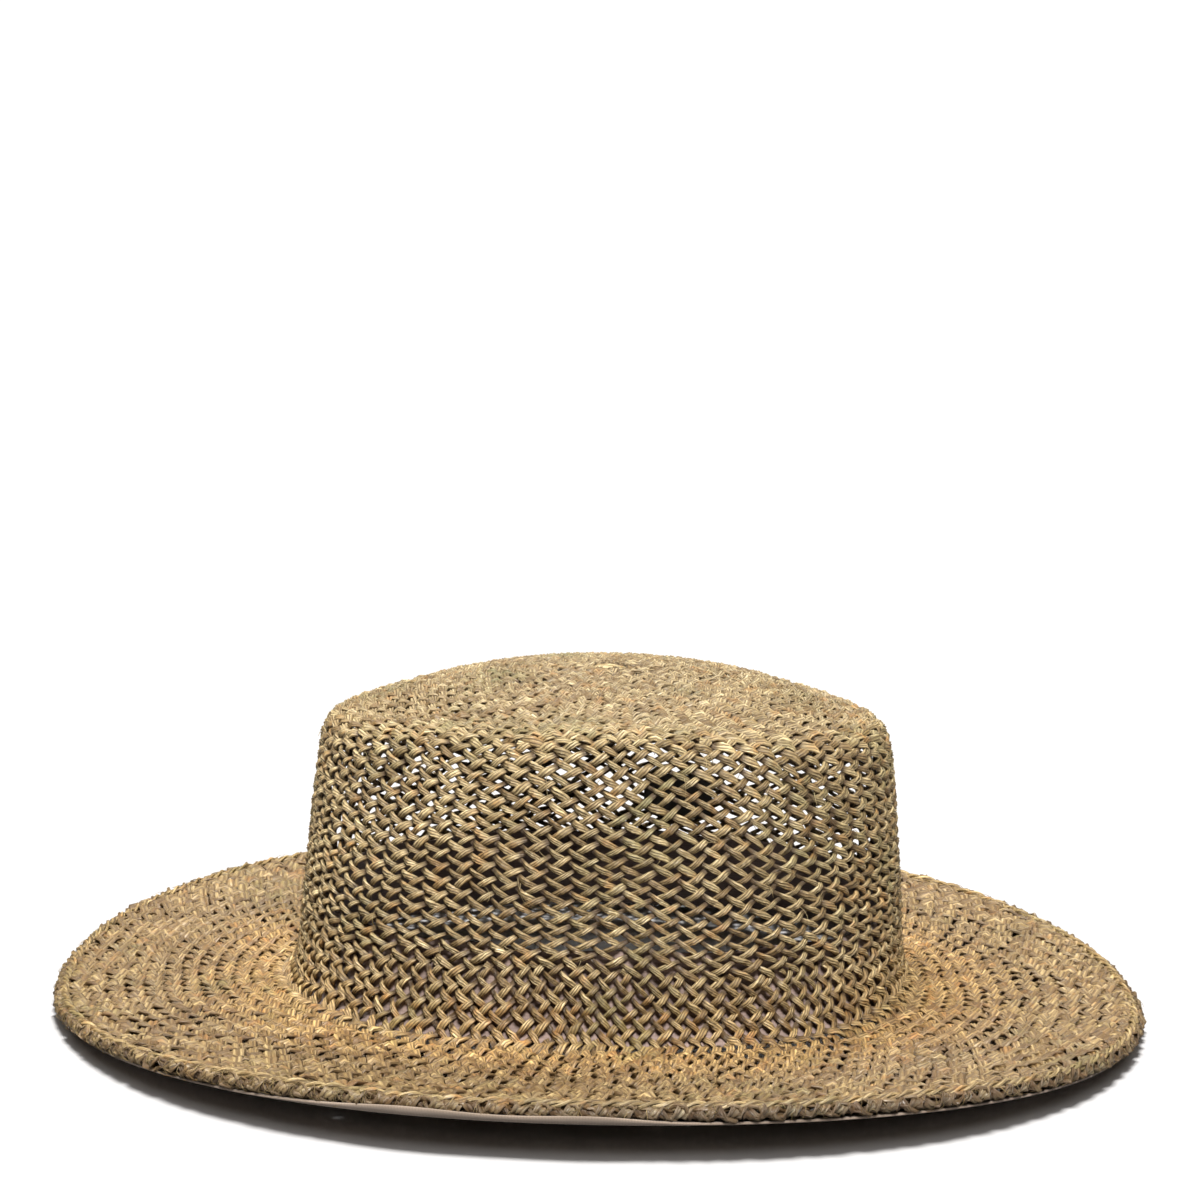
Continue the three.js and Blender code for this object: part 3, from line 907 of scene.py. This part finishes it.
def family(lean, part, of_parts):
    """A share of the cords of one family as parts for a mesh. lean is 1 or -1."""
    places, starts = plan_cords(lean)
    count = len(starts)
    random = np.random.default_rng(SEED + 2 + lean)
    phases = random.uniform(0, 2 * np.pi, (count, 1, len(WANDER_WAVES)))
    jitter = random.normal(0, JITTER, (count, 1)) * 2 * np.pi / cord_counts
    tones = random.uniform(0, 1, count)
    widths = 1 + WIDTH_SPREAD * random.uniform(-1, 1, count)
    base = np.array([soften(place[band_there]) for place in places + jitter])
    numbers = np.arange(count)
    chosen = numbers[numbers % of_parts == part]
    parts = []
    for first in np.unique(starts[chosen]):
        cords = chosen[starts[chosen] == first]
        fine = rows_from(row_ends[first])
        row = fine_rows[fine][None, :]
        place = distance_of(row)
        angle = base[cords][:, fine] + lean * fine_turn[fine]
        reach = np.maximum(np.interp(place, RING_AT, TABLE[:, 0]), LEAST_REACH)
        phase = phases[cords]
        across = wander(row, phase) * np.clip(place / WANDER_GROWS_OVER, 0, 1)
        moved = place + field(place, angle, 0)
        angle = angle + (field(place, angle, 1) + across) / reach
        wave, spread, swell, swing = (np.interp(place, WAVES[:, 0], WAVES[:, k]) for k in (1, 2, 3, 4))
        over = lean * np.cos(np.pi * row)
        rise = wave * over * (1 + varied("wave", row, phase[..., 0]))
        if first > 0:
            rise = rise - TUCK * np.exp(-(row - row[0, 0]) / TUCK_ROWS)
        out = facing(layer, moved, angle)
        path = layer(moved, angle) + out * rise[..., None]
        twist = swing * lean * np.sin(np.pi * row) + varied("twist", row, phase[..., 1])
        size = widths[cords][:, None] * (1 + varied("size", row, phase[..., 2]))
        size = size * (1 + swell * over)
        along = length_along(path)
        painted_side_shade = np.interp(moved, PAINTED_SIDE_AT, PAINTED_SIDE_SHARE)
        # The sunk, side and front values only steer where the material paints shade.
        shades = {"reach": moved, "sunk": (1 - over) / 2, "painted_side_shade": painted_side_shade, "front": front_share(angle)}
        parts.append(tube(path, out, THREE_FIBRES, size, twist, tones[cords], along, shades, spread))
    return parts


# %% [markdown]
# Each family is split in three pieces, only to keep each mesh light. Together the six pieces are the whole
# woven body, crown and brim in one, as the real one is woven.

# %% Woven body
PIECES = 3


def woven(name, parts):
    """One piece of the woven body."""
    return make_piece(name, parts, SEAGRASS, "woven_body")


for lean, side in ((1, "right"), (-1, "left")):
    for part in range(PIECES):
        woven(f"cords_leaning_{side}_{part + 1}", family(lean, part, PIECES))

# %% [markdown]
# The top of the crown starts from a small button: one cord wound flat in a spiral, to whose rim the first
# cords are tied. It hardly shows in the photograph, so it is kept plain.

# %% Button in the middle of the top
BUTTON_FROM, BUTTON_TURNS = 0.35, 4  # turns of the spiral
BUTTON_PITCH = 1.75  # mm from turn to turn
BUTTON_STEPS = 96
BUTTON_SUNK = 0.2  # mm below the layer
BUTTON_SIZE, BUTTON_TONE = 0.95, 0.3
BUTTON_TWIST = 3  # mm of cord for each radian that it twists

spiral = np.linspace(BUTTON_FROM, BUTTON_TURNS, BUTTON_STEPS)[None, :]
spiral_angle, spiral_place = 2 * np.pi * spiral, BUTTON_PITCH * spiral
button_out = facing(layer, spiral_place, spiral_angle)
button_path = layer(spiral_place, spiral_angle) - BUTTON_SUNK * button_out
button_along = length_along(button_path)
button = tube(
    button_path, button_out, TWO_FIBRES, np.full((1, BUTTON_STEPS), BUTTON_SIZE), button_along / BUTTON_TWIST,
    np.array([BUTTON_TONE]), button_along, {"reach": spiral_place})
woven("top_button", [button])

# %% [markdown]
# Two cords twisted round each other finish the upper corner of the brim's edge. They show as a line of pale
# slanting strokes where the light catches them. The pair sinks into the weave and comes out again, as it
# does on the real brim.

# %% Twisted edge pair
EDGE_PITCH_TURNS = 92  # times that the pair twists on its way round
EDGE_STEPS = 1000
EDGE_HALF_GAP = 0.62  # mm from the pair's middle line to each cord
EDGE_SET_BACK = 0.8  # mm from the edge to that middle line
EDGE_SWAY = ((0.25, 7, 0),)  # mm, in and out
EDGE_LIFT, EDGE_LIFT_IN_FRONT = 0.45, 0.6  # mm out of the weave
EDGE_LIFT_SWAY = ((0.25, 11, 0),)
EDGE_TWIST = 4  # mm of cord for each radian that it twists
EDGE_TONES = (0.2, 0.5)

edge_angle = np.linspace(0, 2 * np.pi, EDGE_STEPS)[None, :]
edge_front = front_share(edge_angle)
edge_lift = EDGE_LIFT + EDGE_LIFT_IN_FRONT * edge_front + ripples(EDGE_LIFT_SWAY, edge_angle)
edge_middle = AT["edge"] - EDGE_SET_BACK
edge_parts = []
for number, tone in enumerate(EDGE_TONES):
    swing = EDGE_PITCH_TURNS * edge_angle + np.pi * number
    edge_place = edge_middle + EDGE_HALF_GAP * np.cos(swing) + ripples(EDGE_SWAY, edge_angle)
    edge_out = facing(layer, edge_place, edge_angle)
    edge_rise = edge_lift + EDGE_HALF_GAP * np.sin(swing)
    edge_path = layer(edge_place, edge_angle) + edge_rise[..., None] * edge_out
    edge_along = length_along(edge_path)
    edge_parts.append(tube(
        edge_path, edge_out, TWO_FIBRES, np.full((1, EDGE_STEPS), 1.0), edge_along / EDGE_TWIST,
        np.array([tone]), edge_along, {"reach": edge_place, "front": edge_front}))
woven("edge_pair", edge_parts)

# %% [markdown]
# The inner band and the tape are ribbons that run all the way round. A ribbon is a loop of points in a plane
# of distance and depth, carried round the hat. Its flat map is in metres, and its length is counted round a
# circle of about the band's size, so the band's threads have their true size and the tape's are longer.

# %% Ribbons
RIBBON_SIDES = 288
RIBBON_ANGLES = np.linspace(0, 2 * np.pi, RIBBON_SIDES, endpoint=False)
ROUND_END = 5  # points on each rounded edge
MAP_RADIUS = 100  # mm, of the circle that the flat map is counted round


def ribbon_outline(line, thick):
    """A closed loop round a centre line given as (step, 2) points, with rounded ends."""
    forward = np.gradient(line, axis=0)
    forward /= np.linalg.norm(forward, axis=1, keepdims=True)
    normal = np.stack([-forward[:, 1], forward[:, 0]], 1)
    half = thick / 2
    turn = np.radians(np.linspace(90, -90, ROUND_END + 2)[1:-1])[:, None]
    far = line[-1] + half * (np.cos(turn) * forward[-1] + np.sin(turn) * normal[-1])
    near = line[0] - half * (np.cos(turn) * forward[0] + np.sin(turn) * normal[0])
    return np.concatenate([line + half * normal, far, (line - half * normal)[::-1], near])


def cloth_part(points, faces, flat):
    """A part for a mesh from points in mm, faces and a flat map in metres."""
    return {"points": points.reshape(-1, 3) * MM, "faces": faces, "lay": [flat[face] for face in faces],
            "tone": [np.zeros(face.shape + (2,)) for face in faces]}


def ribbon(outlines, lowest=None):
    """A ribbon from one outline for each angle (side, point, 2), in mm, as a part for a mesh."""
    points = under(outlines[..., 0], RIBBON_ANGLES[:, None], outlines[..., 1])
    if lowest is not None:
        points[..., 2] = np.maximum(points[..., 2], lowest)
    number = np.arange(points[..., 0].size).reshape(points.shape[:2])
    after, beside = np.roll(number, -1, axis=0), np.roll(number, -1, axis=1)
    both = np.roll(after, -1, axis=1)
    faces = np.stack([number, beside, both, after], -1).reshape(-1, 4)
    run = RIBBON_ANGLES * MAP_RADIUS * MM
    rise = length_along(outlines[:1])[0] * MM
    flat = np.stack(np.meshgrid(run, rise, indexing="ij"), -1).reshape(-1, 2)
    return cloth_part(points, [faces], flat)


print("points in a ribbon's outline:", len(ribbon_outline(np.array([[0.0, 0], [5, 0]]), 1)))

# %% [markdown]
# The band lies inside the foot of the crown, where it meets the head. It is a soft strip, a little wavy where
# the stitches pull it. It could be simulated, but it is sewn down all along one edge, so a few low waves say
# as much.

# %% Inner band
BAND_FROM, BAND_TO = AT["band_top"], AT["foot"] + 7
BAND_DEPTH = 3.3  # mm below the skin, in the middle of the cloth
BAND_THICK = 1.0
BAND_STEPS = 9
BAND_WAVES = ((0.22, 17, 0), (0.16, 31, 1))  # mm, of its face
BAND_TOP_WAVES = ((0.5, 11, 2),)  # mm, of its upper edge

band_steps = np.linspace(0, 1, BAND_STEPS)
band_free = 1 - band_steps
band_outlines = []
for angle in RIBBON_ANGLES:
    down = BAND_FROM + ripples(BAND_TOP_WAVES, angle) * band_free + (BAND_TO - BAND_FROM) * band_steps
    depth = BAND_DEPTH + ripples(BAND_WAVES, angle) * band_free
    band_outlines.append(ribbon_outline(np.stack([down, depth], 1), BAND_THICK))
sweatband = make_piece(
    "inner_band", [ribbon(np.array(band_outlines))], BAND_CLOTH, "sweatband")

# %% [markdown]
# The tape covers the cut ends under the brim's edge. In front it comes a little way up round the edge, and
# shows below it as a smooth grey-beige line. Where the hat stands on its two tips, the tape is pressed flat.

# %% Edge tape
TAPE_THICK = 0.85
TAPE_TURN = HEM_THICK / 2 + 0.75  # mm, radius of its rise round the edge
TAPE_TURN_STEPS = 7
TAPE_INWARDS = 10.2  # mm that it lies under the brim
TAPE_FLAT_STEPS = 5
TAPE_RISE_AT = -102.0  # degrees, where it comes up highest
TAPE_RISE = 66.0  # degrees round the edge
TAPE_RISE_WIDTH = 21.0  # degrees about Z to each side
TAPE_SET_BACK = 1.5  # mm, how far it keeps from the edge elsewhere
TAPE_LEAN = 0.6  # mm, how far its upper end leans out elsewhere
TAPE_RIPPLES = ((0.12, 19, 0),)  # of its rise

tape_outlines = []
for angle in RIBBON_ANGLES:
    away = (np.degrees(angle) - TAPE_RISE_AT + 180) % 360 - 180
    there = math.exp(-(away / TAPE_RISE_WIDTH) ** 4)
    rise = TAPE_RISE * there * (1 + ripples(TAPE_RIPPLES, angle))
    from_edge = AT["edge"] - TAPE_SET_BACK * (1 - there)
    turn = np.radians(np.linspace(rise, 0, TAPE_TURN_STEPS))
    curve = np.stack([from_edge + TAPE_TURN * np.sin(turn), HEM_THICK / 2 + TAPE_TURN * np.cos(turn)], 1)
    curve[:, 0] += (1 - there) * np.linspace(TAPE_LEAN, 0, TAPE_TURN_STEPS)
    inwards = np.linspace(0, TAPE_INWARDS, TAPE_FLAT_STEPS + 1)[1:]
    flat = np.stack([from_edge - inwards, np.full(TAPE_FLAT_STEPS, HEM_THICK / 2 + TAPE_TURN)], 1)
    tape_outlines.append(ribbon_outline(np.concatenate([curve, flat]), TAPE_THICK))
tape = make_piece(
    "tape_under_edge", [ribbon(np.array(tape_outlines), 0)], TAPE_CLOTH, "edge_tape")

# %% [markdown]
# A small dark card of cloth is sewn inside the crown and shows through the net as a shadow. It is blank.
# It is a grid with rounded corners, bent to the wall, with a back and a rim.

# %% Label
LABEL_LENGTH, LABEL_HEIGHT, LABEL_THICK = 26.0, 15.0, 0.6
LABEL_ANGLE = 71.0  # degrees
LABEL_DEPTH = 3.1  # mm below the skin
LABEL_ABOVE_BAND = 6
LABEL_MIDDLE = AT["band_top"] - LABEL_ABOVE_BAND - LABEL_HEIGHT / 2
CORNER = 5.0  # how square the card's outline is
LABEL_RINGS, LABEL_SIDES = 7, 48
FIRST_RING, RIM_RING = 0.1, 1.01  # of the card's size


def label_card():
    """The card as rings from its middle out, on both faces."""
    around = np.linspace(0, 2 * np.pi, LABEL_SIDES, endpoint=False)
    square = (np.abs(np.cos(around)) ** CORNER + np.abs(np.sin(around)) ** CORNER) ** (-1 / CORNER)
    steps = np.linspace(FIRST_RING, 1, LABEL_RINGS)
    shares = np.concatenate([steps, [RIM_RING], steps[::-1]])
    half = LABEL_THICK / 2
    heights = np.concatenate([np.full(LABEL_RINGS, half), [0], np.full(LABEL_RINGS, -half)])
    across = shares[:, None] * square * np.cos(around) * LABEL_LENGTH / 2
    up = shares[:, None] * square * np.sin(around) * LABEL_HEIGHT / 2
    reach = np.linalg.norm(skin(LABEL_MIDDLE, math.radians(LABEL_ANGLE))[:2])
    angle = math.radians(LABEL_ANGLE) - across / reach
    points = under(LABEL_MIDDLE - up, angle, LABEL_DEPTH - heights[:, None] * np.ones_like(up))
    rings, count = across.shape
    number = np.arange(rings * count).reshape(rings, count)
    after = np.roll(number, -1, axis=1)
    walls = np.stack([number[:-1], number[1:], after[1:], after[:-1]], -1).reshape(-1, 4)
    caps = np.stack([number[0], number[-1][::-1]])
    return cloth_part(points, [walls, caps], np.stack([across, up], -1).reshape(-1, 2) * MM)


label = make_piece("blank_label", [label_card()], LABEL_CLOTH, "label")

# %% [markdown]
# Dry grass splits, and short hairs stand off it everywhere. Each is a thin bent tube that starts in the weave
# and leaves it at a low angle. A few that show in the photograph have a table of their own, and the rest are
# scattered with seeded chance.

# %% Loose fibres
FIBRE_COLUMNS = ("from_mm", "to_mm", "from_degrees", "to_degrees", "fibres")
FIBRES = (
    (70, 160, 0, 360, 300),
    (185, AT["edge"], 0, 360, 600),
    (AT["edge"] - 3, AT["edge"] + 4, 0, 360, 600),
    (AT["edge"] - 1, AT["edge"] + 4, -165, -112, 300),
)
FIBRE_COUNT = sum(fibres for *_, fibres in FIBRES)
SEEN_COLUMNS = ("place", "angle", "length", "heading", "bend", "lift")
SEEN_FIBRES = np.array([
    (134.5, math.radians(-108.2), 11.5, 0.1, 0.7, 0.14),
    (136.0, math.radians(-107.6), 9.0, -0.2, 0.9, 0.08),
    (AT["edge"] + 1, math.radians(-86), 4.5, 0.2, 0.2, 0.6),
    (AT["edge"] + 1, math.radians(-108.8), 5.0, 0.5, -0.6, 0.5),
])
FIBRE_STEPS = 6
FIBRE_RADIUS = 0.13  # mm
FIBRE_LENGTH = (3.0, 1.6)  # shape and scale of a gamma spread, in mm
FIBRE_BEND = 0.9  # radians, the spread
FIBRE_LIFT = (0.02, 0.4)  # rise for each mm of length
FIBRE_START = 1.0  # mm out of the middle of the layer
FIBRE_DROOP, FIBRE_TAPER = 1.3, 1.15  # where along it, in lengths, the rise and the radius would end
FIBRE_TONES = (0, 0.5)
fibre_random = np.random.default_rng(SEED + 9)


def loose_fibres():
    """All the fibres as one part for a mesh."""
    places = [fibre_random.uniform(low, high, fibres) for low, high, _, _, fibres in FIBRES]
    angles = [np.radians(fibre_random.uniform(low, high, fibres)) for *_, low, high, fibres in FIBRES]
    scattered = np.stack([
        np.concatenate(places),
        np.concatenate(angles),
        fibre_random.gamma(*FIBRE_LENGTH, FIBRE_COUNT),
        fibre_random.uniform(0, 2 * np.pi, FIBRE_COUNT),
        fibre_random.normal(0, FIBRE_BEND, FIBRE_COUNT),
        fibre_random.uniform(*FIBRE_LIFT, FIBRE_COUNT),
    ], 1)
    place, angle, length, heading, bend, lift = np.concatenate([SEEN_FIBRES, scattered]).T[..., None]
    share = np.linspace(0, 1, FIBRE_STEPS)[None, :]
    course = heading + bend * share
    reach = np.interp(place, RING_AT, TABLE[:, 0])
    run = length * share
    to = place + run * np.cos(course)
    turned = angle + run * np.sin(course) / reach
    out = facing(layer, to, turned)
    path = layer(to, turned) + out * (FIBRE_START + lift * run * (FIBRE_DROOP - share))[..., None]
    size = FIBRE_RADIUS * (FIBRE_TAPER - share) * np.ones_like(run)
    tones = fibre_random.uniform(*FIBRE_TONES, len(place))
    return tube(path, out, ROUND_FIBRE, size, np.zeros_like(run), tones, run, {"reach": to})


woven("loose_fibres", [loose_fibres()])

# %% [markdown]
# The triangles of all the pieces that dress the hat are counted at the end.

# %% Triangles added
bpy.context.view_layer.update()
added = shone_on["hat"].objects
print("triangles added:", sum(len(face.vertices) - 2 for piece in added for face in piece.data.polygons))
